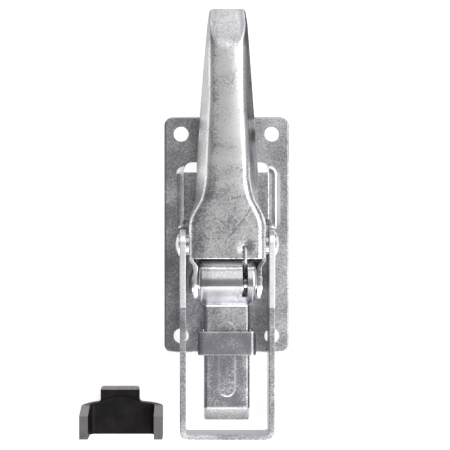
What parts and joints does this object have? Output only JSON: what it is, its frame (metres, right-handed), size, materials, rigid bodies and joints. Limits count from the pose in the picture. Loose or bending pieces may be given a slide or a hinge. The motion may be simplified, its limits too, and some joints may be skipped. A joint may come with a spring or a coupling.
{
  "type": "trailer drop side latch",
  "caption": "Zinc plated over-centre side latch with a channel lever, strip bail and locating tongue on a bolt-on plate, with a weld-on keeper bracket beside it.",
  "frame": {"origin": "middle of the four bolt holes, on the back face of the plate", "axes": "+Y up the plate towards the lever's tip, +Z out of the plate towards the hand, +X to the right seen from the front"},
  "size_m": [0.1226, 0.2478, 0.0289],
  "materials": {
    "zinc_plate": "bright zinc plating with a fine mottled grain",
    "zinc_pin": "bright zinc plating on turned steel",
    "spring_wire": "drawn spring wire",
    "black_steel": "satin black with bare edges"
  },
  "bodies": {
    "base": {"back_plate": "zinc_plate", "tongue_housing": "zinc_plate", "fulcrum_pin": "zinc_pin", "keeper": "black_steel"},
    "lever": {"lever": "zinc_plate", "return_spring": "spring_wire"},
    "bail_rivets": {"bail_rivet_left": "zinc_pin", "bail_rivet_right": "zinc_pin", "bail_washer_left": "zinc_pin", "bail_washer_right": "zinc_pin"},
    "bail": {"bail": "zinc_plate"}
  },
  "joints": [
    {"name": "lever_open", "type": "hinge", "parent": "base", "child": "lever", "pos_m": [0, -0.0276, 0.014], "axis": [1, 0, 0], "range_deg": [0, 120], "stiffness_Nm_per_rad": 0.8, "springref_deg": -14.32},
    {"name": "rivet_turn", "type": "hinge", "parent": "lever", "child": "bail_rivets", "pos_m": [0, -0.005, 0.013], "axis": [1, 0, 0], "range_deg": [-120, 0]},
    {"name": "bail_swing", "type": "hinge", "parent": "bail_rivets", "child": "bail", "pos_m": [0, -0.005, 0.013], "axis": [-1, 0, 0], "range_deg": [0, 165]}
  ],
  "couplings": [
    {"joint": "rivet_turn", "follows": "lever_open", "ratio": -1}
  ]
}
